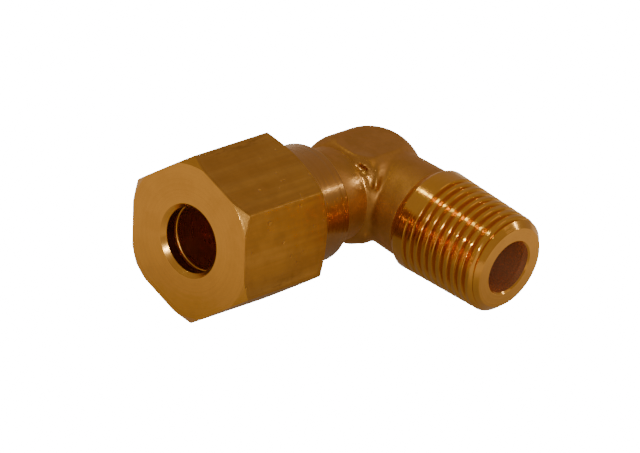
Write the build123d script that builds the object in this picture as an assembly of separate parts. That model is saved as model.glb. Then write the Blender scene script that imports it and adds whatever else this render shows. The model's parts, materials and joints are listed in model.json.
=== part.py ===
from build123d import *
from math import atan, cos, degrees, isclose, radians, tan
import os

# ---- Driving sizes, mm ------------------------------------------------------
# The axes of the two legs cross at the elbow's centre. The male leg runs
# along +X and the tube leg along -Y. Positions on a leg are distances from
# the crossing.

MALE_LEG = 18.0

# How far cutting tools run past the faces they cut
OVERRUN = 1.0
GROOVE_OVERRUN = 0.25

# Taper pipe thread R 1/8: 28 threads per inch, taper 1 in 16
PIPE_PITCH = 0.907
PIPE_END_RADIUS = 4.739
PIPE_SLOPE = 1 / 32
PIPE_DEPTH = 0.50
PIPE_ROOT = 0.13
PIPE_FLANK = 27.5
PIPE_SHOULDER = 7.3
PIPE_FULL = 8.0
PIPE_FIRST_GROOVE = 8.9
PIPE_CHAMFER = 0.75
PIPE_LEAD_IN = 0.0
PORT_RADIUS = 2.60
PORT_EDGE = 0.12

# Forged elbow: ball heel and barrel between two flats, web in the inner corner
HEEL_RADIUS = 5.2
HEEL_FLAT = 4.6
BARREL_END = 4.3
BARREL_ROUND = 1.8
NECK_START = 5.0
NECK_RADIUS = 4.42
MALE_NECK_ROOT = 4.26
MALE_NECK_END = 4.58
WEB_SIDE = 4.40
WEB_END = 4.55
WEB_EDGE = 2.6
WEB_BACK = 0.7
WEB_DRAFT = 0.02
FLASH_WIDTH = 0.8
FLASH_HEIGHT = 2.1
FLASH_REACH = 6.05
FLASH_DEPTH = 2.0
WEB_LENGTH = 20.0

# Tube leg: turned collar, compression thread M12 x 1.5, 24 degree cone
COLLAR_START = 8.6
COLLAR_RADIUS = 5.6
COLLAR_EDGE = 0.15
THREAD_START = 13.6
THREAD_RADIUS = 5.95
THREAD_PITCH = 1.5
THREAD_DEPTH = 0.87
THREAD_ROOT = 0.19
THREAD_FLANK = 30.0
GROOVE_START = 13.3
THREAD_LEAD_IN = 137.0
NOSE_END = 20.2
NOSE_CHAMFER = 0.9
TUBE_STOP = 12.0
SOCKET_RADIUS = 3.05
SOCKET_END = 15.4
CONE_SLOPE = tan(radians(12.0))
TUBE_FLOW_RADIUS = 2.2
DRILL_POINT = 0.6

# Compression nut, 14 mm across flats
NUT_REAR = 13.0
NUT_FRONT = 24.2
NUT_FLATS = 14.0
NUT_TURN = 42.5
FRONT_FACE_RADIUS = 7.3
FRONT_CHAMFER = 37.0
REAR_FACE_RADIUS = 6.65
REAR_CHAMFER = 35.0
NUT_BORE = 3.10
NUT_MOUTH = 0.42
NUT_CONE_END = 22.85
NUT_THREAD_BORE = 5.19
NUT_COUNTERBORE = 6.10
COUNTERBORE_END = 14.2
COUNTERBORE_EDGE = 0.25
THREAD_PLAY = 0.04
NUT_THREAD_RADIUS = 6.03
NUT_GROOVE_END = 20.9

# Olive: ring with a long 12 degree cone and a short 45 degree cone
OLIVE_FRONT = 22.5
OLIVE_REAR = 17.44
OLIVE_BORE = 3.08
OLIVE_REAR_RADIUS = 3.45
OLIVE_RADIUS = 4.10
OLIVE_TIP_RADIUS = 3.40
OLIVE_EDGE = 0.06

# Leg frames: a shape turned about Z is placed with Z pointing out of the leg
MALE_FRAME = Plane(origin=(0, 0, 0), x_dir=(0, 1, 0), z_dir=(1, 0, 0))
TUBE_FRAME = Plane(origin=(0, 0, 0), x_dir=(1, 0, 0), z_dir=(0, -1, 0))


def turned(profile):
    """Solid of revolution about Z from (radius, height) corners."""
    corners = [(radius, 0, height) for radius, height in profile]
    return revolve(make_face(Polyline(corners, close=True)), Axis.Z)


def drilled(radius, bottom, top):
    """Drilled hole about Z with a shallow point below its bottom."""
    return turned([(0, bottom - DRILL_POINT), (radius, bottom), (radius, top), (0, top)])


def thread_cutter(near, near_width, far, far_width, pitch, start, end, lead_in, slope=0.0):
    """Right-hand helical cutter about Z, a trapezium from near to far radius.

    lead_in is the angle at which the helix starts.
    """
    cone = -degrees(atan(slope))
    path = Helix(pitch, end - start, near, center=(0, 0, start), cone_angle=cone)
    corners = [
        (near, 0, start - near_width / 2),
        (near, 0, start + near_width / 2),
        (far, 0, start + far_width / 2),
        (far, 0, start - far_width / 2),
    ]
    cutter = sweep(make_face(Polyline(corners, close=True)), path=path, is_frenet=True)
    return Rot(0, 0, lead_in) * cutter


def groove_width(root_width, rise, flank):
    """Width of a vee groove at a height above its floor."""
    return root_width + 2 * rise * tan(radians(flank))


# ---- Elbow body -------------------------------------------------------------


def pipe_radius(distance):
    """Crest radius of the taper thread at a distance from the crossing."""
    return PIPE_END_RADIUS + (MALE_LEG - distance) * PIPE_SLOPE


def male_leg():
    """Tapered neck and R 1/8 thread, along +X."""
    chamfer_start = MALE_LEG - PIPE_CHAMFER
    blank = turned(
        [
            (0, 0),
            (MALE_NECK_ROOT, 0),
            (MALE_NECK_END, PIPE_SHOULDER),
            (pipe_radius(PIPE_FULL), PIPE_FULL),
            (pipe_radius(chamfer_start), chamfer_start),
            (pipe_radius(chamfer_start) - PIPE_CHAMFER, MALE_LEG),
            (0, MALE_LEG),
        ]
    )
    reach = PIPE_DEPTH + GROOVE_OVERRUN
    floor = pipe_radius(PIPE_FIRST_GROOVE) - PIPE_DEPTH
    grooves = thread_cutter(
        floor,
        PIPE_ROOT,
        floor + reach,
        groove_width(PIPE_ROOT, reach, PIPE_FLANK),
        PIPE_PITCH,
        PIPE_FIRST_GROOVE,
        MALE_LEG + PIPE_PITCH,
        PIPE_LEAD_IN,
        PIPE_SLOPE,
    )
    return MALE_FRAME.location * (blank - grooves)


def tube_leg():
    """Neck, turned collar and M12 x 1.5 thread, along -Y."""
    nose_shoulder = NOSE_END - NOSE_CHAMFER
    blank = turned(
        [
            (0, 0),
            (NECK_RADIUS, 0),
            (NECK_RADIUS, COLLAR_START),
            (COLLAR_RADIUS - COLLAR_EDGE, COLLAR_START),
            (COLLAR_RADIUS, COLLAR_START + COLLAR_EDGE),
            (COLLAR_RADIUS, THREAD_START - THREAD_RADIUS + COLLAR_RADIUS),
            (THREAD_RADIUS, THREAD_START),
            (THREAD_RADIUS, nose_shoulder),
            (THREAD_RADIUS - NOSE_CHAMFER, NOSE_END),
            (0, NOSE_END),
        ]
    )
    reach = THREAD_DEPTH + GROOVE_OVERRUN
    floor = THREAD_RADIUS - THREAD_DEPTH
    grooves = thread_cutter(
        floor,
        THREAD_ROOT,
        floor + reach,
        groove_width(THREAD_ROOT, reach, THREAD_FLANK),
        THREAD_PITCH,
        GROOVE_START,
        NOSE_END + THREAD_PITCH,
        THREAD_LEAD_IN,
    )
    return TUBE_FRAME.location * (blank - grooves)


def corner_web():
    """Inner corner of the forging: the rounded leg sections meet at a trimmed corner."""
    height = 2 * HEEL_FLAT
    tube_section = Plane.XZ * RectangleRounded(2 * WEB_SIDE, height, WEB_EDGE)
    male_section = Plane.YZ * RectangleRounded(2 * WEB_END, height + WEB_DRAFT, WEB_EDGE)
    along_tube = extrude(tube_section, WEB_LENGTH, both=True)
    along_male = extrude(male_section, WEB_LENGTH, both=True)
    trim = FLASH_WIDTH / 2**0.5
    corners = [
        (-WEB_BACK, WEB_BACK),
        (WEB_SIDE - 2 * WEB_BACK, WEB_BACK),
        (WEB_SIDE, -WEB_BACK),
        (WEB_SIDE, trim - WEB_END),
        (WEB_SIDE - trim, -WEB_END),
        (-WEB_BACK, -WEB_END),
    ]
    plan = extrude(make_face(Polyline(corners, close=True)), HEEL_FLAT, both=True)
    return along_tube & along_male & plan


def heel():
    """Forged centre: ball and barrel cut by the two flats, inner web, trimmed flash."""
    barrel = turned(
        [
            (0, 0),
            (HEEL_RADIUS, 0),
            (HEEL_RADIUS, BARREL_END),
            (NECK_RADIUS, NECK_START),
            (0, NECK_START),
        ]
    )
    circles = barrel.edges().filter_by(GeomType.CIRCLE)
    shoulder = circles.filter_by(lambda edge: isclose(edge.center().Z, BARREL_END))
    barrel = TUBE_FRAME.location * fillet(shoulder, BARREL_ROUND)
    slab = Box(4 * HEEL_RADIUS, 4 * HEEL_RADIUS, 2 * HEEL_FLAT)
    flash = Box(FLASH_WIDTH, FLASH_DEPTH, FLASH_HEIGHT)
    flash = Rot(0, 0, 45) * Pos(0, FLASH_DEPTH / 2 - FLASH_REACH, 0) * flash
    return ((Sphere(HEEL_RADIUS) + barrel) & slab) + corner_web() + flash


def elbow_body():
    """Forged elbow with both threads, the cone seat and the flow bores."""
    solid = heel() + male_leg() + tube_leg()
    port = drilled(PORT_RADIUS, -TUBE_FLOW_RADIUS, MALE_LEG + OVERRUN)
    port_chamfer = turned(
        [
            (0, MALE_LEG - PORT_RADIUS - PORT_EDGE),
            (PORT_RADIUS + 2 * PORT_EDGE, MALE_LEG + PORT_EDGE),
            (0, MALE_LEG + PORT_EDGE),
        ]
    )
    flow = drilled(TUBE_FLOW_RADIUS, 0, TUBE_STOP)
    cone_end = NOSE_END + OVERRUN
    socket = turned(
        [
            (0, TUBE_STOP),
            (SOCKET_RADIUS, TUBE_STOP),
            (SOCKET_RADIUS, SOCKET_END),
            (SOCKET_RADIUS + (cone_end - SOCKET_END) * CONE_SLOPE, cone_end),
            (0, cone_end),
        ]
    )
    solid -= MALE_FRAME.location * (port + port_chamfer)
    return solid - TUBE_FRAME.location * (flow + socket)


# ---- Compression nut --------------------------------------------------------


def compression_nut():
    """Hexagon nut with both ends chamfered, internal thread, cone and tube bore."""
    length = NUT_FRONT - NUT_REAR
    hexagon = RegularPolygon(NUT_FLATS / 2, 6, major_radius=False, rotation=NUT_TURN)
    blank = Pos(0, 0, NUT_REAR) * extrude(hexagon, length)
    corner = NUT_FLATS / 2 / cos(radians(30)) + GROOVE_OVERRUN
    rear_rise = (corner - REAR_FACE_RADIUS) * tan(radians(REAR_CHAMFER))
    front_drop = (corner - FRONT_FACE_RADIUS) * tan(radians(FRONT_CHAMFER))
    envelope = turned(
        [
            (0, NUT_REAR),
            (REAR_FACE_RADIUS, NUT_REAR),
            (corner, NUT_REAR + rear_rise),
            (corner, NUT_FRONT - front_drop),
            (FRONT_FACE_RADIUS, NUT_FRONT),
            (0, NUT_FRONT),
        ]
    )
    counterbore_depth = NUT_COUNTERBORE - NUT_THREAD_BORE
    cone_depth = NUT_THREAD_BORE - NUT_BORE
    inside = turned(
        [
            (0, NUT_REAR),
            (NUT_COUNTERBORE + COUNTERBORE_EDGE, NUT_REAR),
            (NUT_COUNTERBORE, NUT_REAR + COUNTERBORE_EDGE),
            (NUT_COUNTERBORE, COUNTERBORE_END),
            (NUT_THREAD_BORE, COUNTERBORE_END + counterbore_depth),
            (NUT_THREAD_BORE, NUT_CONE_END - cone_depth),
            (NUT_BORE, NUT_CONE_END),
            (NUT_BORE, NUT_FRONT - NUT_MOUTH),
            (NUT_BORE + NUT_MOUTH, NUT_FRONT),
            (0, NUT_FRONT),
        ]
    )
    far = NUT_THREAD_RADIUS
    near = THREAD_RADIUS - THREAD_DEPTH
    land_far = THREAD_PITCH - groove_width(THREAD_ROOT, far - near, THREAD_FLANK)
    land_near = THREAD_PITCH - THREAD_ROOT
    grooves = thread_cutter(
        near,
        land_near + 2 * THREAD_PLAY,
        far,
        land_far + 2 * THREAD_PLAY,
        THREAD_PITCH,
        GROOVE_START - THREAD_PITCH / 2,
        NUT_GROOVE_END,
        THREAD_LEAD_IN,
    )
    return TUBE_FRAME.location * ((blank & envelope) - inside - grooves)


# ---- Olive ------------------------------------------------------------------


def olive():
    """Double-cone ring round the tube."""
    cone_end = OLIVE_REAR + (OLIVE_RADIUS - OLIVE_REAR_RADIUS) / CONE_SLOPE
    ring = turned(
        [
            (OLIVE_BORE, OLIVE_REAR + OLIVE_EDGE),
            (OLIVE_BORE + OLIVE_EDGE, OLIVE_REAR),
            (OLIVE_REAR_RADIUS, OLIVE_REAR),
            (OLIVE_RADIUS, cone_end),
            (OLIVE_RADIUS, OLIVE_FRONT - OLIVE_RADIUS + OLIVE_TIP_RADIUS),
            (OLIVE_TIP_RADIUS, OLIVE_FRONT),
            (OLIVE_BORE + OLIVE_EDGE, OLIVE_FRONT),
            (OLIVE_BORE, OLIVE_FRONT - OLIVE_EDGE),
        ]
    )
    return TUBE_FRAME.location * ring


# ---- Export, with the origin at the mouth of the male port -------------------

os.makedirs("parts", exist_ok=True)
to_port_mouth = Pos(-MALE_LEG, 0, 0)
export_step(to_port_mouth * elbow_body(), "parts/elbow_body.step")
export_step(to_port_mouth * compression_nut(), "parts/compression_nut.step")
export_step(to_port_mouth * olive(), "parts/olive.step")
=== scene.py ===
import json
from math import cos, hypot, pi, radians, sin, tan
from types import SimpleNamespace

import bmesh
import bpy
from mathutils import Matrix, Vector

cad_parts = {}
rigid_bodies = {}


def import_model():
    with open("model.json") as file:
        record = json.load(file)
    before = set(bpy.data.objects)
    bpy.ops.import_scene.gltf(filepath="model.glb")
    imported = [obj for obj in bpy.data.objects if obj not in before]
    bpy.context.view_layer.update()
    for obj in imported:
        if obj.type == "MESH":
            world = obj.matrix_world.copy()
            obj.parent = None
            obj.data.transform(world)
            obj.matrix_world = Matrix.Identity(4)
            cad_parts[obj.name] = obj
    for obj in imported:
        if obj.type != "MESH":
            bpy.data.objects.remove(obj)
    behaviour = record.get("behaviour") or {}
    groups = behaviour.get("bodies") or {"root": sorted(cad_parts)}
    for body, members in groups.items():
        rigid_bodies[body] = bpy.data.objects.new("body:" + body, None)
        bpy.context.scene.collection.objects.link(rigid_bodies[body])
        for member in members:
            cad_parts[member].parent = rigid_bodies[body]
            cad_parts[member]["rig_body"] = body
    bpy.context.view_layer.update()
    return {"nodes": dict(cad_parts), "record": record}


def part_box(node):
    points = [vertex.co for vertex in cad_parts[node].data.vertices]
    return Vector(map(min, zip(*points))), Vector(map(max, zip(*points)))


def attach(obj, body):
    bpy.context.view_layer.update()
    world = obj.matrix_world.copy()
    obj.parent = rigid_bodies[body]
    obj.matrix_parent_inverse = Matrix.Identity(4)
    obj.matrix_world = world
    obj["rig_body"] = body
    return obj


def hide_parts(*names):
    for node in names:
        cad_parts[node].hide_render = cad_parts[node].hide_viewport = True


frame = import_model()

bl_info = {
    "name": "Brass Compression Elbow",
    "version": (1, 0, 0),
    "blender": (4, 5, 0),
    "location": "3D View > Sidebar > Elbow",
    "description": "A forged brass elbow with a taper thread, a hexagon nut and an olive",
    "category": "Add Mesh",
}

# ---- Sizes taken from the frame ----------------------------------------------
# Meshes are made in millimetres with the two legs' axes crossing at zero: the
# male leg runs along +X and the tube leg along -Y. They are placed, in metres,
# by PLACE.

MM = 0.001
MOUNTS = {mount["name"]: mount for mount in frame["record"]["mounts"]}
CROSSING = Vector((MOUNTS["tube_socket"]["pos_m"][0], 0, 0))
PLACE = Matrix.Translation(CROSSING) @ Matrix.Scale(MM, 4)
MALE_LEG = -CROSSING.x / MM
BODY_LOW, BODY_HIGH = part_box("elbow_body")
NUT_LOW, NUT_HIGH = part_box("compression_nut")
OLIVE_LOW, OLIVE_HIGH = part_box("olive")
HEEL_RADIUS = BODY_HIGH.y / MM
HEEL_FLAT = MOUNTS["top_flat"]["pos_m"][2] / MM
NOSE_END = -BODY_LOW.y / MM
NUT_FRONT = -NUT_LOW.y / MM
NUT_REAR = -NUT_HIGH.y / MM
OLIVE_FRONT = -OLIVE_LOW.y / MM
OLIVE_REAR = -OLIVE_HIGH.y / MM
OLIVE_RADIUS = OLIVE_HIGH.z / MM
PORT_RADIUS = MOUNTS["port_bore"]["dims"]["r_mm"]
SOCKET_RADIUS = MOUNTS["tube_socket"]["dims"]["r_mm"]
NUT_BORE = MOUNTS["nut_tube_bore"]["dims"]["r_mm"]

# A leg's own frame has Z pointing out of the leg.
MALE_LEG_FRAME = Matrix(((0, 0, 1, 0), (1, 0, 0, 0), (0, 1, 0, 0), (0, 0, 0, 1)))
TUBE_LEG_FRAME = Matrix(((1, 0, 0, 0), (0, 0, -1, 0), (0, 1, 0, 0), (0, 0, 0, 1)))

# ---- Shape details, mm --------------------------------------------------------

ROUND_STEPS = 4
TURN_STEPS = 144
WELD = 1e-4
SHARP_ANGLE = radians(27)
# How far tools run past the faces they cut, and how far joined shapes overlap
OVERRUN = 1.0
LAP = 0.3

# Forging: heel, barrel and necks, then the web, flash ridge and dent of the inner corner
BARREL_END = 4.3
BARREL_ROUND = 1.8
BARREL_TAPER = 0.4
NECK_START = 5.0
NECK_RADIUS = 4.42
NECK_FILLET = 0.3
MALE_NECK_ROOT = 4.26
MALE_NECK_END = 4.58
WEB_EDGE = 2.6
WEB_REACH = 4.45
WEB_CORNER = 0.75
WEB_ROOT = 0.7
FLASH_WIDTH = 0.8
FLASH_LOW = -0.9
FLASH_HIGH = 1.35
FLASH_REACH = 6.05
FLASH_ROOT = 3.0
DENT_RIM = ((1.3, -4.9, 4.0), (2.9, -3.9, 3.7), (2.8, -4.8, 3.1))
DENT_FLARE = 1.5
DENT_RISE = 0.25
DENT_DEPTH = 0.22
# Burnished area about the dent, whole up to its core and gone at its reach
MARK_MIDDLE = (2.4, -4.6, 3.0)
MARK_CORE = 1.2
MARK_REACH = 3.0

# Male end; the groove starts as a notch, part of a turn on from its first pitch
PIPE_PITCH = 0.907
PIPE_SHOULDER = 7.3
PIPE_FULL = 8.0
PIPE_GROOVE = 8.9
PIPE_NOTCH_ANGLE = 157.0
PIPE_NOTCH = PIPE_GROOVE + PIPE_PITCH * PIPE_NOTCH_ANGLE / 360
PIPE_LAP = 0.8
PIPE_SUNK = 0.1
PIPE_SEAM = 0.07
PORT_EDGE = 0.14

# Tube end: collar, compression thread, socket and cone seat
COLLAR_START = 8.6
COLLAR_RADIUS = 5.6
COLLAR_LAP = 0.6
COLLAR_SUNK = 0.2
THREAD_START = 13.6
THREAD_GROOVE = 13.3
THREAD_LEAD_IN = 137.0
NOSE_CHAMFER = 0.9
TUBE_STOP = 12.0
SOCKET_END = 15.4
TUBE_FLOW_RADIUS = 2.2
DRILL_POINT = 0.6
CONE = tan(radians(12.0))

# Nut, from its rear to its mouth
NUT_THREAD_BORE = 5.19
NUT_COUNTERBORE = 6.10
COUNTERBORE_END = 14.2
COUNTERBORE_EDGE = 0.25
NUT_CONE_END = 22.85
NUT_THREAD_RADIUS = 6.03
NUT_GROOVE_END = 20.9
THREAD_PLAY = 0.04

# A groove's edge softens below the crest, and the cutter opens out above it.
CREST_SOFT = 0.04
CREST_OVER = 0.03
CREST_SLOPE = tan(radians(60))

# ---- Looks ----------------------------------------------------------------------

# Place of each finish in a piece's list of materials
FORGED, PIPE_TURNED, COLLAR_TURNED, BORED = range(4)
DRAWN, NUT_TURNED, NUT_BORED = range(3)
# How far, in mm, a finish reaches past the edge that bounds it
FINISH_EDGE = 0.04
PIPE_FINISH_EDGE = 0.06
NUT_BORE_EDGE = 0.2
NUT_REAR_EDGE = 0.3
MOUTH_DEPTH = 0.46
# Least share of a nut face's normal that lies along the axis on an end or a chamfer
FACING_END = 0.2
# Share of bare metal in the bores, under their dull film
BORE_BARE = 0.68

# The floor is plain matt with a glow that is dimmed near the elbow as a painted shadow, and the camera sees
# it mostly as white paper.
FLOOR_SIZE = 3.0
FLOOR_GAP = 2e-5
FLOOR_COLOUR = (0.62, 0.57, 0.50, 1)
FLOOR_LIGHT = (1, 0.84, 0.62, 1)
FLOOR_GLOWING = 0.7
FLOOR_PAPER = 0.9
ROOM_COLOUR = (1.0, 0.82, 0.62, 1)
PAPER = {"Color": (1, 1, 1, 1), "Strength": 20.0}
WARM = (1.0, 0.80, 0.48)
YELLOW = (0.92, 1.0, 0.62)
WHITE = (0.85, 0.91, 1.0)
# Colour of each lamp, its place from the crossing and its side, in metres
LAMPS = {
    "overhead_panel": (WARM, (0.5, 0.45, 0.9), 0.45),
    "warm_lamp": (YELLOW, (-0.50, -0.19, 0.74), 0.07),
    "window": (WHITE, (0.45, 0.66, 0.50), 0.035),
    "low_light": (WHITE, (0.154, -0.97, 0.188), 0.03),
    "front_light": (WHITE, (0.56, -0.70, 0.50), 0.04),
}


# ---- Mesh making ---------------------------------------------------------------


def rounded(corners):
    """Points of an outline from (radius, height) corners, each with an optional rounding."""
    points = []
    for index, corner in enumerate(corners):
        here = Vector(corner[:2])
        if len(corner) == 2:
            points.append(here)
            continue
        back = (Vector(corners[index - 1][:2]) - here).normalized()
        ahead = (Vector(corners[(index + 1) % len(corners)][:2]) - here).normalized()
        half = back.angle(ahead) / 2
        start = here + back * corner[2] / tan(half)
        end = here + ahead * corner[2] / tan(half)
        centre = here + (back + ahead).normalized() * corner[2] / sin(half)
        for step in range(ROUND_STEPS + 1):
            spoke = (start - centre).slerp(end - centre, step / ROUND_STEPS).normalized()
            points.append(centre + spoke * corner[2])
    return points


def tidy_shell(bm):
    """Merges a shell's doubles and points its faces outwards."""
    bmesh.ops.remove_doubles(bm, verts=bm.verts, dist=WELD)
    bmesh.ops.recalc_face_normals(bm, faces=bm.faces)
    return bm


def turned(corners, leg=Matrix(), steps=TURN_STEPS, closed=False):
    """Solid of revolution about a leg's axis; an open outline starts and ends on the axis."""
    bm = bmesh.new()
    points = rounded(corners)
    verts = [bm.verts.new((point.x, 0, point.y)) for point in points]
    pairs = list(zip(verts, verts[1:]))
    if closed:
        pairs.append((verts[-1], verts[0]))
    for pair in pairs:
        bm.edges.new(pair)
    bmesh.ops.spin(
        bm,
        geom=bm.verts[:] + bm.edges[:],
        cent=(0, 0, 0),
        axis=(0, 0, 1),
        angle=2 * pi,
        steps=steps,
        use_merge=True,
    )
    bmesh.ops.transform(bm, matrix=leg, verts=bm.verts)
    return tidy_shell(bm)


def helix(section, pitch, start, end, lead_in, leg, slope=0.0):
    """Right-hand helical cutter of a (radius, height) section, narrowing by slope towards end."""
    bm = bmesh.new()
    face = bm.faces.new([bm.verts.new((radius, 0, start + height)) for radius, height in section])
    turns = (end - start) / pitch
    steps = round(turns * TURN_STEPS)
    bmesh.ops.spin(
        bm,
        geom=[face, *face.verts, *face.edges],
        cent=(0, 0, 0),
        axis=(0, 0, 1),
        dvec=(0, 0, (end - start) / steps),
        angle=2 * pi * turns,
        steps=steps,
    )
    for vert in bm.verts:
        radius = hypot(vert.co.x, vert.co.y)
        narrowed = (radius + (start - vert.co.z) * slope) / radius
        vert.co.x *= narrowed
        vert.co.y *= narrowed
    turn = Matrix.Rotation(radians(lead_in), 4, "Z")
    bmesh.ops.transform(bm, matrix=leg @ turn, verts=bm.verts)
    return tidy_shell(bm)


def groove_section(floor, depth, root, flank):
    """Vee groove from its floor radius up, opening out where it breaks through the crest."""
    rise = depth - CREST_SOFT
    shoulder = root / 2 + rise * tan(flank)
    mouth = shoulder + (CREST_SOFT + CREST_OVER) * CREST_SLOPE
    return [
        (floor, -root / 2),
        (floor, root / 2),
        (floor + rise, shoulder),
        (floor + depth + CREST_OVER, mouth),
        (floor + depth + CREST_OVER, -mouth),
        (floor + rise, -shoulder),
    ]


def made_object(bm, name):
    """Object that holds a bmesh, which is freed."""
    mesh = bpy.data.meshes.new(name)
    bm.to_mesh(mesh)
    bm.free()
    obj = bpy.data.objects.new(name, mesh)
    bpy.context.scene.collection.objects.link(obj)
    return obj


def applied(obj):
    """Keeps the result of an object's modifiers as its mesh."""
    graph = bpy.context.evaluated_depsgraph_get()
    mesh = bpy.data.meshes.new_from_object(obj.evaluated_get(graph))
    spent = obj.data
    obj.modifiers.clear()
    obj.data = mesh
    bpy.data.meshes.remove(spent)
    return obj


def worked(obj, operation, bm):
    """Joins, cuts or trims an object with a tool shape."""
    tool = made_object(bm, "tool")
    modifier = obj.modifiers.new("work", "BOOLEAN")
    modifier.operation = operation
    modifier.solver = "MANIFOLD"
    modifier.object = tool
    applied(obj)
    spent = tool.data
    bpy.data.objects.remove(tool)
    bpy.data.meshes.remove(spent)
    if not obj.data.polygons:
        raise RuntimeError(f"{obj.name}: nothing is left after {operation}")
    return obj


def finished(obj, node, materials, pick):
    """Places a piece, gives each face its finish and lets it stand for its CAD node."""
    mesh = obj.data
    mesh.materials.clear()
    for material in materials:
        mesh.materials.append(material)
    for polygon in mesh.polygons:
        polygon.material_index = pick(polygon.center, polygon.normal)
    mesh.transform(PLACE)
    mesh.shade_smooth()
    mesh.set_sharp_from_angle(angle=SHARP_ANGLE)
    mesh.validate()
    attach(obj, obj_body(node))
    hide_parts(node)
    return obj


def obj_body(node):
    """Name of the CAD body that holds a node."""
    return frame["nodes"][node]["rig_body"]


# ---- Finishes --------------------------------------------------------------------


class Wire:
    """An output of a shader node; arithmetic on it adds Math nodes."""

    def __init__(self, bench, socket):
        self.bench = bench
        self.socket = socket

    def math(self, operation, *values):
        return self.bench.node("ShaderNodeMath", {"operation": operation}, dict(enumerate(values)))

    def __add__(self, other):
        return self.math("ADD", self, other)

    def __sub__(self, other):
        return self.math("SUBTRACT", self, other)

    def __rsub__(self, other):
        return self.math("SUBTRACT", other, self)

    def __mul__(self, other):
        return self.math("MULTIPLY", self, other)

    def __pow__(self, other):
        return self.math("POWER", self, other)

    def __abs__(self):
        return self.math("ABSOLUTE", self)

    def least(self, other):
        return self.math("MINIMUM", self, other)

    def step(self, low, high):
        """Goes smoothly from 0 at low to 1 at high."""
        inputs = {"Value": self, "From Min": low, "From Max": high}
        return self.bench.node("ShaderNodeMapRange", {"interpolation_type": "SMOOTHSTEP"}, inputs)

    def spread(self, low, high):
        """Maps 0..1 onto low..high."""
        return self * (high - low) + low


class Bench:
    """Makes the nodes of one material or of the world."""

    def __init__(self, owner):
        owner.use_nodes = True
        self.owner = owner
        self.tree = owner.node_tree
        self.tree.nodes.clear()

    def node(self, kind, settings=None, inputs=None, output=0):
        """Adds a node, applies its settings, then sets or links its sockets."""
        node = self.tree.nodes.new(kind)
        for name, value in (settings or {}).items():
            setattr(node, name, value)
        for key, value in (inputs or {}).items():
            if isinstance(value, Wire):
                self.tree.links.new(value.socket, node.inputs[key])
            else:
                node.inputs[key].default_value = value
        return None if output is None else Wire(self, node.outputs[output])

    def place(self):
        """Object coordinates in millimetres from the crossing of the two legs' axes."""
        coordinates = self.node("ShaderNodeTexCoord", output=3)
        inputs = {"Vector": coordinates, "Location": -CROSSING / MM, "Scale": (1 / MM,) * 3}
        return self.node("ShaderNodeMapping", {}, inputs)

    def parts(self, vector):
        """The X, Y and Z of a vector."""
        split = self.node("ShaderNodeSeparateXYZ", {}, {0: vector}).socket.node
        return [Wire(self, socket) for socket in split.outputs]

    def vector(self, x=0.0, y=0.0, z=0.0):
        """Vector with the given parts."""
        return self.node("ShaderNodeCombineXYZ", {}, {0: x, 1: y, 2: z})

    def reach(self, *parts):
        """Length of a vector with these parts."""
        squares = [part * part for part in parts]
        return sum(squares[1:], squares[0]) ** 0.5

    def noise(self, vector, scale, detail, rough):
        """Noise of 0..1; scale is in features to the millimetre."""
        inputs = {"Vector": vector, "Scale": scale, "Detail": detail, "Roughness": rough}
        return self.node("ShaderNodeTexNoise", {}, inputs)

    def blend(self, factor, first, second):
        """Colour between two colours."""
        inputs = {0: factor, 6: first, 7: second}
        return self.node("ShaderNodeMix", {"data_type": "RGBA"}, inputs, output=2)

    def shaded(self, factor, colour):
        """A colour made darker or lighter by a factor."""
        inputs = {0: colour, 3: factor}
        return self.node("ShaderNodeVectorMath", {"operation": "SCALE"}, inputs)

    def bump(self, height, depth, normal=None):
        """Normal of a surface with a height of 0..1 times depth, in millimetres."""
        inputs = {"Height": height, "Distance": depth * MM, "Strength": 1.0}
        if normal is not None:
            inputs["Normal"] = normal
        return self.node("ShaderNodeBump", {}, inputs)

    def metal(self, colour, roughness, normal, bare=1.0):
        """Finishes the material as metal, bare or under a dull film."""
        inputs = {
            "Base Color": colour,
            "Metallic": bare,
            "Roughness": roughness,
            "Normal": normal,
        }
        shader = self.node("ShaderNodeBsdfPrincipled", {}, inputs)
        self.node("ShaderNodeOutputMaterial", {}, {"Surface": shader}, output=None)
        return self.owner


def material_bench(name):
    """Bench for a new material."""
    return Bench(bpy.data.materials.new(name))


def colour_of(name):
    """A brass colour with its alpha."""
    return (*getattr(bpy.context.scene.elbow_finish, name), 1.0)


def forged_brass():
    """Shot-cleaned forging skin: orange peel, pits, tarnished patches and a burnished mark."""
    bench = material_bench("forged_brass")
    place = bench.place()
    patches = bench.noise(place, 0.45, 4.0, 0.6).step(0.38, 0.66)
    peel = bench.noise(place, 5.5, 5.0, 0.62)
    swell = bench.noise(place, 1.1, 2.0, 0.5)
    pits = bench.noise(place, 9.0, 2.0, 0.5).step(0.34, 0.22)
    colour = bench.blend(patches * 0.5, colour_of("forged"), colour_of("forged_dark"))
    colour = bench.shaded(peel.spread(0.92, 1.08) - pits * 0.12, colour)
    from_mark = [part - middle for part, middle in zip(bench.parts(place), MARK_MIDDLE)]
    burnished = bench.reach(*from_mark).step(MARK_REACH, MARK_CORE)
    roughness = peel.spread(0.46, 0.60) + patches * 0.05 - burnished * 0.30
    normal = bench.bump(swell, 0.05)
    normal = bench.bump(peel - pits * 0.5, 0.010, normal)
    return bench.metal(colour, roughness, normal)


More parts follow.
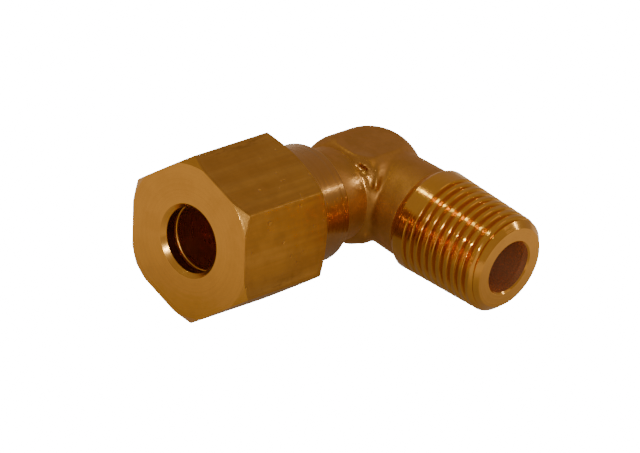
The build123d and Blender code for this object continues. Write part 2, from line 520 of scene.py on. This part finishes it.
def turned_brass(name, leg, colour_name, roughness_low, roughness_high, depth, bare=1.0):
    """Lathe-turned brass: fine rings about a leg's axis on its cylinders and on its faces."""
    bench = material_bench(name)
    place = bench.place()
    x, y, z = bench.parts(place)
    along, across = (x, y) if leg == "male" else (y, x)
    radius = bench.reach(across, z)
    fine = bench.noise(bench.vector(along, radius), 8.0, 2.0, 0.7)
    feed = bench.noise(bench.vector(along, radius), 2.6, 2.0, 0.5)
    chatter = bench.noise(place, 2.0, 3.0, 0.55)
    smear = bench.noise(place, 0.6, 3.0, 0.5).step(0.35, 0.7)
    scratches = bench.noise(bench.vector(along * 0.5, across * 7.0, z * 7.0), 3.0, 4.0, 0.7)
    marks = scratches.step(0.66, 0.74)
    bright, dull = colour_of(colour_name), colour_of("tarnish")
    colour = bench.blend(smear * 0.14, bright, dull)
    colour = bench.shaded(fine.spread(0.90, 1.08) + chatter.spread(-0.03, 0.03), colour)
    roughness = fine.spread(roughness_low, roughness_high) + smear * 0.04 + marks * 0.06
    normal = bench.bump(feed, depth * 1.5)
    normal = bench.bump(fine, depth, normal)
    return bench.metal(colour, roughness, normal, bare)


def drawn_brass():
    """Flats of drawn hexagon bar: streaks along the bar, dings, bright worn edges."""
    bench = material_bench("drawn_brass")
    place = bench.place()
    x, y, z = bench.parts(place)
    turns = [bpy.context.scene.elbow_nut.turn + k * pi / 3 for k in range(3)]
    offsets = [abs(x * sin(turn) - z * cos(turn)) for turn in turns]
    from_edge = offsets[0].least(offsets[1]).least(offsets[2])
    wear = bench.noise(place, 1.6, 4.0, 0.6)
    worn = from_edge.step(0.22, 0.0) * wear.step(0.3, 0.6)
    drag = bench.vector(x * 0.5, y * 0.12, z * 0.5)
    stains = bench.noise(drag, 1.6, 5.0, 0.66).step(0.54, 0.66) * from_edge.step(1.6, 0.3)
    bar = bench.vector(x, y * 0.035, z)
    streaks = bench.noise(bar, 3.2, 5.0, 0.68)
    bands = bench.noise(bar, 0.9, 2.0, 0.5)
    fine = bench.noise(bar, 14.0, 3.0, 0.6)
    blotches = bench.noise(place, 0.5, 4.0, 0.6).step(0.36, 0.68)
    dings = bench.noise(place, 1.35, 1.0, 0.4).step(0.72, 0.78)
    colour = bench.blend(bands.step(0.36, 0.62) * 0.6, colour_of("drawn"), colour_of("drawn_dark"))
    colour = bench.blend(blotches * 0.3 + stains * 0.6, colour, colour_of("tarnish"))
    colour = bench.blend(worn * 0.7 + dings * 0.5, colour, colour_of("turned"))
    colour = bench.shaded(streaks.spread(0.88, 1.10) + fine.spread(-0.05, 0.05), colour)
    roughness = streaks.spread(0.30, 0.44) + blotches * 0.06 - worn * 0.1
    normal = bench.bump(streaks * 0.7 + fine * 0.3, 0.012)
    normal = bench.bump(1 - dings, 0.05, normal)
    return bench.metal(colour, roughness, normal)


# ---- Body ------------------------------------------------------------------------


def joined(shells):
    """One bmesh of several shells, which are freed."""
    whole = bmesh.new()
    for shell in shells:
        mesh = bpy.data.meshes.new("shell")
        shell.to_mesh(mesh)
        shell.free()
        whole.from_mesh(mesh)
        bpy.data.meshes.remove(mesh)
    return whole


def flattened(bm, height):
    """Cuts a shell by the two flats, above and below, and closes it."""
    for side in (1, -1):
        geometry = bm.verts[:] + bm.edges[:] + bm.faces[:]
        plane = (0, 0, side * height)
        bmesh.ops.bisect_plane(
            bm, geom=geometry, plane_co=plane, plane_no=(0, 0, side), clear_outer=True
        )
        rim = [edge for edge in bm.edges if edge.is_boundary]
        bmesh.ops.holes_fill(bm, edges=rim, sides=0)
    return tidy_shell(bm)


def block(low, high):
    """Box between two corners."""
    bm = bmesh.new()
    bmesh.ops.create_cube(bm, size=1)
    low, high = Vector(low), Vector(high)
    size = Matrix.Diagonal((*(high - low), 1))
    bmesh.ops.transform(bm, matrix=Matrix.Translation((low + high) / 2) @ size, verts=bm.verts)
    return bm


def corner_web(edge):
    """Filled inner corner between the legs, rounded towards both, with its point cut off."""
    bm = block((-WEB_ROOT, -WEB_REACH, -HEEL_FLAT), (WEB_REACH, WEB_ROOT, HEEL_FLAT))
    facing = []
    for candidate in bm.edges:
        middle = sum((vert.co for vert in candidate.verts), Vector()) / 2
        level = abs(middle.z) > HEEL_FLAT - WELD
        if level and (middle.x > WEB_REACH - WELD or middle.y < WELD - WEB_REACH):
            facing.append(candidate)
    bevelled(bm, facing, edge, 8)
    upright = []
    for candidate in bm.edges:
        places = [vert.co for vert in candidate.verts]
        if all(place.x > WEB_REACH - WELD and place.y < WELD - WEB_REACH for place in places):
            upright.append(candidate)
    bevelled(bm, upright, WEB_CORNER, 1)
    return tidy_shell(bm)


def bevelled(bm, edges, offset, segments):
    """Rounds edges of a bmesh."""
    bmesh.ops.bevel(
        bm,
        geom=edges,
        offset=offset,
        offset_type="OFFSET",
        segments=segments,
        profile=0.5,
        affect="EDGES",
        material=-1,
        clamp_overlap=True,
    )


def corner_dent():
    """Three-sided hollow where the barrel's end, the flat and the male leg meet."""
    rim = [Vector(point) for point in DENT_RIM]
    middle = sum(rim, Vector()) / len(rim)
    outward = (rim[2] - rim[0]).cross(rim[1] - rim[0]).normalized()
    bm = bmesh.new()
    for point in rim:
        bm.verts.new(middle + (point - middle) * DENT_FLARE + outward * DENT_RISE)
    bm.verts.new(middle - outward * DENT_DEPTH)
    bmesh.ops.convex_hull(bm, input=bm.verts)
    return tidy_shell(bm)


def forged_core(sizes, voxel, softening):
    """Forged elbow with soft edges: ball, barrel, necks and web blended into one skin."""
    ball = bmesh.new()
    bmesh.ops.create_icosphere(ball, subdivisions=5, radius=HEEL_RADIUS)
    barrel = turned(
        [
            (0, 0),
            (HEEL_RADIUS, 0),
            (HEEL_RADIUS, BARREL_END + BARREL_ROUND * BARREL_TAPER, BARREL_ROUND),
            (sizes.neck, NECK_START, NECK_FILLET),
            (sizes.neck, COLLAR_START + LAP),
            (0, COLLAR_START + LAP),
        ],
        TUBE_LEG_FRAME,
    )
    male_neck = turned(
        [
            (0, 0),
            (MALE_NECK_ROOT, 0),
            (MALE_NECK_END, PIPE_SHOULDER),
            (MALE_NECK_END - PIPE_SUNK, PIPE_SHOULDER + LAP),
            (0, PIPE_SHOULDER + LAP),
        ],
        MALE_LEG_FRAME,
    )
    half = FLASH_WIDTH / 2
    flash = block((-half, -FLASH_REACH, FLASH_LOW), (half, -FLASH_ROOT, FLASH_HIGH))
    bmesh.ops.rotate(flash, matrix=Matrix.Rotation(pi / 4, 3, "Z"), verts=flash.verts)
    shells = [flattened(ball, HEEL_FLAT), flattened(barrel, HEEL_FLAT), male_neck]
    core = made_object(joined([*shells, corner_web(sizes.web_edge), flash]), "elbow_body")
    blend = core.modifiers.new("skin", "REMESH")
    blend.mode = "VOXEL"
    blend.voxel_size = voxel
    applied(core)
    worked(core, "DIFFERENCE", corner_dent())
    blend = core.modifiers.new("skin", "REMESH")
    blend.mode = "VOXEL"
    blend.voxel_size = voxel
    soft = core.modifiers.new("soft", "SMOOTH")
    soft.factor = 0.5
    soft.iterations = softening
    return applied(core)


def pipe_radius(distance, pipe):
    """Crest radius of the taper thread at a distance from the crossing."""
    return pipe.end_radius + (MALE_LEG - distance) * pipe.taper / 2


def pipe_end(pipe):
    """Turned end of the male leg with its taper thread."""
    chamfer_start = MALE_LEG - pipe.chamfer
    end = turned(
        [
            (0, PIPE_SHOULDER - PIPE_LAP),
            (MALE_NECK_ROOT - PIPE_SUNK, PIPE_SHOULDER - PIPE_LAP),
            (MALE_NECK_END - PIPE_SEAM, PIPE_SHOULDER - PIPE_SUNK),
            (pipe_radius(PIPE_FULL, pipe), PIPE_FULL, 0.15),
            (pipe_radius(chamfer_start, pipe), chamfer_start, 0.1),
            (pipe_radius(chamfer_start, pipe) - pipe.chamfer, MALE_LEG, 0.05),
            (0, MALE_LEG),
        ],
        MALE_LEG_FRAME,
    )
    floor = pipe_radius(PIPE_NOTCH, pipe) - pipe.depth
    groove = helix(
        groove_section(floor, pipe.depth, pipe.root, pipe.flank),
        pipe.pitch,
        PIPE_NOTCH,
        MALE_LEG + pipe.pitch,
        PIPE_NOTCH_ANGLE,
        MALE_LEG_FRAME,
        pipe.taper / 2,
    )
    return worked(made_object(end, "pipe_end"), "DIFFERENCE", groove)


def tube_end(tube):
    """Turned end of the tube leg: collar and compression thread."""
    rise = tube.radius - COLLAR_RADIUS
    end = turned(
        [
            (0, COLLAR_START - COLLAR_LAP),
            (NECK_RADIUS - COLLAR_SUNK, COLLAR_START - COLLAR_LAP),
            (NECK_RADIUS - COLLAR_SUNK, COLLAR_START),
            (COLLAR_RADIUS, COLLAR_START, 0.14),
            (COLLAR_RADIUS, THREAD_START - rise, 0.1),
            (tube.radius, THREAD_START, 0.1),
            (tube.radius, NOSE_END - NOSE_CHAMFER, 0.1),
            (tube.radius - NOSE_CHAMFER, NOSE_END, 0.05),
            (0, NOSE_END),
        ],
        TUBE_LEG_FRAME,
    )
    groove = helix(
        groove_section(tube.radius - tube.depth, tube.depth, tube.root, tube.flank),
        tube.pitch,
        THREAD_GROOVE,
        NOSE_END + tube.pitch,
        THREAD_LEAD_IN,
        TUBE_LEG_FRAME,
    )
    return worked(made_object(end, "tube_end"), "DIFFERENCE", groove)


def port_bore():
    """Flow bore of the male leg, with its mouth chamfer and its drill point."""
    mouth = PORT_RADIUS + PORT_EDGE + OVERRUN
    return turned(
        [
            (0, -TUBE_FLOW_RADIUS - DRILL_POINT),
            (PORT_RADIUS, -TUBE_FLOW_RADIUS),
            (PORT_RADIUS, MALE_LEG - PORT_EDGE),
            (mouth, MALE_LEG + OVERRUN),
            (0, MALE_LEG + OVERRUN),
        ],
        MALE_LEG_FRAME,
    )


def tube_bore():
    """Flow bore, tube socket and cone seat of the tube leg."""
    cone_end = NOSE_END + OVERRUN
    return turned(
        [
            (0, -DRILL_POINT),
            (TUBE_FLOW_RADIUS, 0),
            (TUBE_FLOW_RADIUS, TUBE_STOP),
            (SOCKET_RADIUS, TUBE_STOP),
            (SOCKET_RADIUS, SOCKET_END),
            (SOCKET_RADIUS + (cone_end - SOCKET_END) * CONE, cone_end),
            (0, cone_end),
        ],
        TUBE_LEG_FRAME,
    )


def body_finish(centre, _normal):
    """Finish of a body face: forged, turned male leg, turned tube leg or bore."""
    along_male, along_tube = centre.x, -centre.y
    from_male_axis = hypot(centre.y, centre.z)
    from_tube_axis = hypot(centre.x, centre.z)
    socket = max(SOCKET_RADIUS, SOCKET_RADIUS + (along_tube - SOCKET_END) * CONE)
    if along_male > -PORT_RADIUS and from_male_axis < PORT_RADIUS + FINISH_EDGE:
        return BORED
    if along_tube > -DRILL_POINT and from_tube_axis < socket + FINISH_EDGE:
        return BORED
    if along_male > PIPE_SHOULDER - PIPE_FINISH_EDGE:
        return PIPE_TURNED
    if along_tube > COLLAR_START - FINISH_EDGE:
        return COLLAR_TURNED
    return FORGED


# ---- Nut and olive -----------------------------------------------------------------


def hexagon(nut):
    """Hexagon bar along the tube leg, with slightly rounded edges."""
    bm = bmesh.new()
    corner_radius = nut.flats / 2 / cos(pi / 6)
    bmesh.ops.create_cone(
        bm,
        cap_ends=True,
        cap_tris=False,
        segments=6,
        radius1=corner_radius,
        radius2=corner_radius,
        depth=NUT_FRONT - NUT_REAR,
    )
    first = next(iter(bm.verts)).co
    lead = Vector((1, 0, 0)).angle(Vector((first.x, first.y, 0)))
    long_edges = [edge for edge in bm.edges if abs(edge.verts[0].co.z - edge.verts[1].co.z) > WELD]
    bevelled(bm, long_edges, nut.edge_round, 2)
    turn = Matrix.Rotation(nut.turn - lead, 4, "Z")
    middle = Matrix.Translation((0, 0, (NUT_FRONT + NUT_REAR) / 2))
    bmesh.ops.transform(bm, matrix=TUBE_LEG_FRAME @ middle @ turn, verts=bm.verts)
    return tidy_shell(bm)


def nut_envelope(nut):
    """Turned shape that chamfers both ends of the hexagon."""
    reach = nut.flats / 2 / cos(pi / 6) + OVERRUN
    return turned(
        [
            (0, NUT_REAR),
            (nut.rear_face, NUT_REAR, 0.1),
            (reach, NUT_REAR + (reach - nut.rear_face) * tan(nut.rear_chamfer)),
            (reach, NUT_FRONT - (reach - nut.front_face) * tan(nut.front_chamfer)),
            (nut.front_face, NUT_FRONT, 0.12),
            (0, NUT_FRONT),
        ],
        TUBE_LEG_FRAME,
    )


def nut_inside(nut):
    """Counterbore, thread bore, inner cone, tube bore and its mouth."""
    return turned(
        [
            (0, NUT_REAR - OVERRUN),
            (NUT_COUNTERBORE + COUNTERBORE_EDGE + OVERRUN, NUT_REAR - OVERRUN),
            (NUT_COUNTERBORE, NUT_REAR + COUNTERBORE_EDGE),
            (NUT_COUNTERBORE, COUNTERBORE_END),
            (NUT_THREAD_BORE, COUNTERBORE_END + NUT_COUNTERBORE - NUT_THREAD_BORE),
            (NUT_THREAD_BORE, NUT_CONE_END - NUT_THREAD_BORE + NUT_BORE),
            (NUT_BORE, NUT_CONE_END),
            (NUT_BORE, NUT_FRONT - nut.mouth, 0.08),
            (NUT_BORE + nut.mouth + OVERRUN, NUT_FRONT + OVERRUN),
            (0, NUT_FRONT + OVERRUN),
        ],
        TUBE_LEG_FRAME,
    )


def nut_thread(tube):
    """Internal thread groove, which clears the body's thread crests by the play."""
    near = tube.radius - tube.depth
    rise = (NUT_THREAD_RADIUS - near) * tan(tube.flank)
    near_half = (tube.pitch - tube.root) / 2 + THREAD_PLAY
    far_half = near_half - rise
    section = [
        (near, -near_half),
        (near, near_half),
        (NUT_THREAD_RADIUS, far_half),
        (NUT_THREAD_RADIUS, -far_half),
    ]
    start = THREAD_GROOVE - tube.pitch / 2
    return helix(section, tube.pitch, start, NUT_GROOVE_END, THREAD_LEAD_IN, TUBE_LEG_FRAME)


def nut_finish(centre, normal):
    """Finish of a nut face: drawn flat, turned end or bore."""
    inner = hypot(centre.x, centre.z) < NUT_THREAD_RADIUS + NUT_BORE_EDGE
    if inner and NUT_REAR + NUT_REAR_EDGE < -centre.y < NUT_FRONT - MOUTH_DEPTH:
        return NUT_BORED
    return NUT_TURNED if abs(normal.y) > FACING_END else DRAWN


def olive_finish(_centre, _normal):
    """Finish of an olive face: all of it is turned."""
    return 0


def olive_shell(ring):
    """Ring with a long cone towards the seat and a short one towards the nut."""
    cone_end = OLIVE_REAR + (OLIVE_RADIUS - ring.rear) / CONE
    return turned(
        [
            (ring.bore, OLIVE_REAR, 0.06),
            (ring.rear, OLIVE_REAR, 0.08),
            (OLIVE_RADIUS, cone_end, 0.2),
            (OLIVE_RADIUS, OLIVE_FRONT - OLIVE_RADIUS + ring.tip, 0.15),
            (ring.tip, OLIVE_FRONT, 0.06),
            (ring.bore, OLIVE_FRONT, 0.14),
        ],
        TUBE_LEG_FRAME,
        closed=True,
    )


# ---- Settings ------------------------------------------------------------------------


def length_setting(name, description, millimetres):
    """Length property with a default in millimetres."""
    return bpy.props.FloatProperty(
        name=name,
        description=description,
        default=millimetres * MM,
        min=0,
        precision=5,
        unit="LENGTH",
    )


def angle_setting(name, description, degrees):
    """Angle property with a default in degrees."""
    return bpy.props.FloatProperty(
        name=name, description=description, default=radians(degrees), subtype="ANGLE"
    )


def colour_setting(name, description, value):
    """Linear colour property."""
    return bpy.props.FloatVectorProperty(
        name=name, description=description, default=value, min=0, max=1, size=3, subtype="COLOR"
    )


def number_setting(name, description, value):
    """Plain number property, of 0..1."""
    return bpy.props.FloatProperty(
        name=name, description=description, default=value, min=0, max=1, subtype="FACTOR"
    )


def power_setting(name, description, watts):
    """Power of a lamp."""
    return bpy.props.FloatProperty(
        name=name, description=description, default=watts, min=0, unit="POWER"
    )


def millimetres(group):
    """The values of a property group, its lengths turned into millimetres."""
    values = {}
    for name in group.__annotations__:
        value = getattr(group, name)
        is_length = group.bl_rna.properties[name].unit == "LENGTH"
        values[name] = value / MM if is_length else value
    return SimpleNamespace(**values)


class ForgingSizes(bpy.types.PropertyGroup):
    neck: length_setting("Neck radius", "Radius of the neck between heel and collar", NECK_RADIUS)
    web_edge: length_setting("Web rounding", "Rounding of the filled inner corner", WEB_EDGE)
    skin: length_setting("Skin cell", "Cell size of the blended forging skin", 0.1)
    softness: bpy.props.IntProperty(
        name="Softness", description="Passes that soften the forged edges", default=16, min=0
    )


class PipeThreadSizes(bpy.types.PropertyGroup):
    pitch: length_setting("Pitch", "Pitch of the taper thread, 28 to the inch", PIPE_PITCH)
    depth: length_setting("Depth", "Depth of the cut thread", 0.38)
    root: length_setting("Root width", "Width of the flat at the root", 0.10)
    end_radius: length_setting("End radius", "Crest radius at the end face", 4.739)
    chamfer: length_setting("End chamfer", "Chamfer of the end face", 0.75)
    flank: angle_setting("Flank angle", "Half angle of the thread", 27.5)
    taper: number_setting("Taper", "Change of diameter over length", 1 / 16)


class TubeThreadSizes(bpy.types.PropertyGroup):
    radius: length_setting("Crest radius", "Crest radius of the compression thread", 5.95)
    pitch: length_setting("Pitch", "Pitch of the compression thread", 1.5)
    depth: length_setting("Depth", "Depth of the cut thread", 0.87)
    root: length_setting("Root width", "Width of the flat at the root", 0.19)
    flank: angle_setting("Flank angle", "Half angle of the thread", 30.0)


class NutSizes(bpy.types.PropertyGroup):
    flats: length_setting("Across flats", "Width of the hexagon across its flats", 14.0)
    turn: angle_setting("Turn", "Angle of a corner from the male leg at rest", 42.5)
    edge_round: length_setting("Edge rounding", "Rounding of the six long edges", 0.08)
    front_face: length_setting("Front face radius", "Radius where the front chamfer starts", 7.3)
    front_chamfer: angle_setting("Front chamfer", "Angle of the front chamfer", 37.0)
    rear_face: length_setting("Rear face radius", "Radius where the rear chamfer starts", 6.65)
    rear_chamfer: angle_setting("Rear chamfer", "Angle of the rear chamfer", 35.0)
    mouth: length_setting("Mouth chamfer", "Chamfer of the tube bore's mouth", 0.42)


class OliveSizes(bpy.types.PropertyGroup):
    bore: length_setting("Bore radius", "Radius of the olive's bore", 3.08)
    rear: length_setting("Rear radius", "Outer radius at the seat end", 3.45)
    tip: length_setting("Tip radius", "Outer radius at the nut end", 3.4)


class FinishColours(bpy.types.PropertyGroup):
    forged: colour_setting("Forged skin", "Colour of the forging skin", (0.59, 0.278, 0.072))
    forged_dark: colour_setting("Forging tarnish", "Darker patches of the forging skin", (0.47, 0.22, 0.045))
    turned: colour_setting("Turned brass", "Fresh turned faces", (0.79, 0.39, 0.082))
    bore: colour_setting("Bore brass", "Bores, which stay duller", (0.80, 0.34, 0.14))
    drawn: colour_setting("Drawn bar", "Flats of the hexagon bar", (0.65, 0.325, 0.074))
    drawn_dark: colour_setting("Drawn bar bands", "Darker bands along the bar", (0.55, 0.25, 0.05))
    tarnish: colour_setting("Tarnish", "Dull film on turned and drawn faces", (0.42, 0.19, 0.04))


class StageSettings(bpy.types.PropertyGroup):
    azimuth: angle_setting("Azimuth", "Camera angle round the elbow, from -Y towards +X", 38.08)
    elevation: angle_setting("Elevation", "Camera angle above the plane of the legs", 27.41)
    roll: angle_setting("Roll", "Turn of the camera about its line of sight", 11.95)
    distance: length_setting("Distance", "Camera distance from the legs' crossing", 892.95)
    shift_left: length_setting("Shift left", "How far the camera stands left of the crossing", 4.48)
    shift_down: length_setting("Shift down", "How far the camera stands below the crossing", 4.157)
    lens: bpy.props.FloatProperty(
        name="Lens", description="Focal length", default=543.86, subtype="DISTANCE_CAMERA"
    )
    room: number_setting("Room light", "Strength of the light from the whole room", 0.36)
    floor_glow: number_setting("Floor light", "Light that the pale floor throws back", 0.74)
    overhead_panel: power_setting("Overhead panel", "Power of the overhead soft panel", 0.28)
    warm_lamp: power_setting("Warm lamp", "Power of the warm lamp on the left", 0.42)
    window: power_setting("Window", "Power of the small light behind", 0.5)
    low_light: power_setting("Low light", "Power of the small low light in front", 1.2)
    front_light: power_setting("Front light", "Power of the small light by the camera", 2.4)


# ---- Operators -------------------------------------------------------------------------


class AddBody(bpy.types.Operator):
    """Make the forged body with its bores and both outside threads"""

    bl_idname = "elbow.add_body"
    bl_label = "Elbow Body"

    def execute(self, context):
        scene = context.scene
        forging = millimetres(scene.elbow_forging)
        body = forged_core(forging, forging.skin, forging.softness)
        for end in (pipe_end(millimetres(scene.elbow_pipe)), tube_end(millimetres(scene.elbow_tube))):
            shape = bmesh.new()
            shape.from_mesh(end.data)
            bpy.data.objects.remove(end)
            worked(body, "UNION", shape)
        worked(body, "DIFFERENCE", port_bore())
        worked(body, "DIFFERENCE", tube_bore())
        finishes = [
            forged_brass(),
            turned_brass("turned_pipe_end", "male", "turned", 0.09, 0.17, 0.018),
            turned_brass("turned_collar", "tube", "forged", 0.12, 0.22, 0.034),
            turned_brass("bored_brass", "male", "bore", 0.16, 0.28, 0.022, BORE_BARE),
        ]
        finished(body, "elbow_body", finishes, body_finish)
        return {"FINISHED"}


class AddNut(bpy.types.Operator):
    """Make the hexagon compression nut with its inside thread"""

    bl_idname = "elbow.add_nut"
    bl_label = "Compression Nut"

    def execute(self, context):
        sizes = millimetres(context.scene.elbow_nut)
        nut = made_object(hexagon(sizes), "hexagon_nut")
        worked(nut, "INTERSECT", nut_envelope(sizes))
        worked(nut, "DIFFERENCE", nut_inside(sizes))
        worked(nut, "DIFFERENCE", nut_thread(millimetres(context.scene.elbow_tube)))
        finishes = [
            drawn_brass(),
            turned_brass("turned_nut_ends", "tube", "turned", 0.16, 0.26, 0.003),
            turned_brass("bored_nut", "tube", "tarnish", 0.22, 0.36, 0.006),
        ]
        finished(nut, "compression_nut", finishes, nut_finish)
        return {"FINISHED"}


class AddOlive(bpy.types.Operator):
    """Make the double-cone sealing ring"""

    bl_idname = "elbow.add_olive"
    bl_label = "Olive"

    def execute(self, context):
        sizes = millimetres(context.scene.elbow_olive)
        olive = made_object(olive_shell(sizes), "sealing_olive")
        finishes = [turned_brass("turned_olive", "tube", "turned", 0.22, 0.36, 0.005)]
        finished(olive, "olive", finishes, olive_finish)
        return {"FINISHED"}


class AddStage(bpy.types.Operator):
    """Make the floor, the room light, the lamps and the camera"""

    bl_idname = "elbow.add_stage"
    bl_label = "Stage"

    def execute(self, context):
        stage = context.scene.elbow_stage
        add_floor(stage.floor_glow)
        light_room(stage.room)
        for name in LAMPS:
            add_lamp(name, getattr(stage, name))
        add_camera(context.scene, stage)
        return {"FINISHED"}


def stage_object(name, data):
    """Object of the stage, which isn't part of the elbow."""
    obj = bpy.data.objects.new(name, data)
    bpy.context.scene.collection.objects.link(obj)
    return obj


def add_floor(glow):
    """Wide pale floor just under the elbow, whose glow is dimmed close to it as a painted shadow under the
    elbow.
    """
    bm = bmesh.new()
    bmesh.ops.create_grid(bm, x_segments=1, y_segments=1, size=FLOOR_SIZE)
    mesh = bpy.data.meshes.new("floor")
    bmesh.ops.translate(bm, verts=bm.verts, vec=(0, 0, NUT_LOW.z - FLOOR_GAP))
    bm.to_mesh(mesh)
    bm.free()
    bench = material_bench("pale_floor")
    seen = bench.node("ShaderNodeLightPath")
    matt = bench.node("ShaderNodeBsdfDiffuse", {}, {"Color": FLOOR_COLOUR})
    across, along, _ = bench.parts(bench.place())
    distance = bench.reach(across - MALE_LEG / 2, along + MALE_LEG / 2)
    # Painted shadow: the floor's glow falls to 0.3 of its strength close under the elbow and is whole far
    # from it.
    painted_shadow_dimming = distance.step(MALE_LEG * 0.3, MALE_LEG * 2.2).spread(0.3, 1.0)
    inputs = {"Color": FLOOR_LIGHT, "Strength": painted_shadow_dimming * glow}
    fill = bench.node("ShaderNodeEmission", {}, inputs)
    lit = bench.node("ShaderNodeMixShader", {}, {0: FLOOR_GLOWING, 1: matt, 2: fill})
    paper = bench.node("ShaderNodeEmission", {}, PAPER)
    shown = bench.node("ShaderNodeMixShader", {}, {0: seen * FLOOR_PAPER, 1: lit, 2: paper})
    bench.node("ShaderNodeOutputMaterial", {}, {"Surface": shown}, output=None)
    mesh.materials.append(bench.owner)
    stage_object("floor", mesh)


def light_room(strength):
    """Even warm light from the room, which the camera sees as white paper."""
    world = bpy.data.worlds.new("room")
    bpy.context.scene.world = world
    bench = Bench(world)
    seen = bench.node("ShaderNodeLightPath")
    room = bench.node("ShaderNodeBackground", {}, {"Color": ROOM_COLOUR, "Strength": strength})
    backdrop = bench.node("ShaderNodeBackground", {}, PAPER)
    shown = bench.node("ShaderNodeMixShader", {}, {0: seen, 1: room, 2: backdrop})
    bench.node("ShaderNodeOutputWorld", {}, {"Surface": shown}, output=None)


def add_lamp(name, power):
    """Square lamp that faces the elbow and isn't seen itself."""
    tint, place, size = LAMPS[name]
    light = bpy.data.lights.new(name, "AREA")
    light.energy = power
    light.color = tint
    light.size = size
    lamp = stage_object(name, light)
    lamp.location = CROSSING + Vector(place)
    lamp.rotation_euler = Vector(place).to_track_quat("Z", "Y").to_euler()
    lamp.visible_camera = False


def add_camera(scene, stage):
    """Camera at a long lens, rolled so that the elbow lies across the picture."""
    lens = bpy.data.cameras.new("camera")
    lens.lens = stage.lens
    lens.sensor_width = 36.0
    lens.clip_start = 0.01
    lens.clip_end = 20.0
    camera = stage_object("camera", lens)
    level = cos(stage.elevation)
    back = Vector((sin(stage.azimuth) * level, -cos(stage.azimuth) * level, sin(stage.elevation)))
    right = Vector((0, 0, 1)).cross(back).normalized()
    up = back.cross(right)
    rolled_right = right * cos(stage.roll) + up * sin(stage.roll)
    rolled_up = up * cos(stage.roll) - right * sin(stage.roll)
    turn = Matrix((rolled_right, rolled_up, back)).transposed().to_4x4()
    sideways = rolled_right * stage.shift_left + rolled_up * stage.shift_down
    place = Matrix.Translation(CROSSING + back * stage.distance - sideways)
    camera.matrix_world = place @ turn
    scene.camera = camera


class ElbowPanel(bpy.types.Panel):
    """Sizes and finishes of the elbow, and the operators that make it"""

    bl_idname = "VIEW3D_PT_elbow"
    bl_label = "Compression Elbow"
    bl_space_type = "VIEW_3D"
    bl_region_type = "UI"
    bl_category = "Elbow"

    def draw(self, context):
        for name, group in SETTINGS.items():
            box = self.layout.box()
            box.label(text=group.__name__)
            settings = getattr(context.scene, name)
            for prop in group.__annotations__:
                box.prop(settings, prop)
        for operator in OPERATORS:
            self.layout.operator(operator.bl_idname)


SETTINGS = {
    "elbow_forging": ForgingSizes,
    "elbow_pipe": PipeThreadSizes,
    "elbow_tube": TubeThreadSizes,
    "elbow_nut": NutSizes,
    "elbow_olive": OliveSizes,
    "elbow_finish": FinishColours,
    "elbow_stage": StageSettings,
}
OPERATORS = (AddBody, AddNut, AddOlive, AddStage)


def register():
    """Adds the settings, the operators and the panel."""
    for group in (*SETTINGS.values(), *OPERATORS, ElbowPanel):
        bpy.utils.register_class(group)
    for name, group in SETTINGS.items():
        setattr(bpy.types.Scene, name, bpy.props.PointerProperty(type=group))


def unregister():
    """Takes away the panel, the operators and the settings."""
    for name in SETTINGS:
        delattr(bpy.types.Scene, name)
    for group in (ElbowPanel, *reversed(OPERATORS), *reversed(SETTINGS.values())):
        bpy.utils.unregister_class(group)


def main():
    """Makes the elbow and its stage."""
    register()
    bpy.ops.elbow.add_body()
    bpy.ops.elbow.add_nut()
    bpy.ops.elbow.add_olive()
    bpy.ops.elbow.add_stage()
    bpy.context.view_layer.update()


if __name__ == "__main__":
    main()
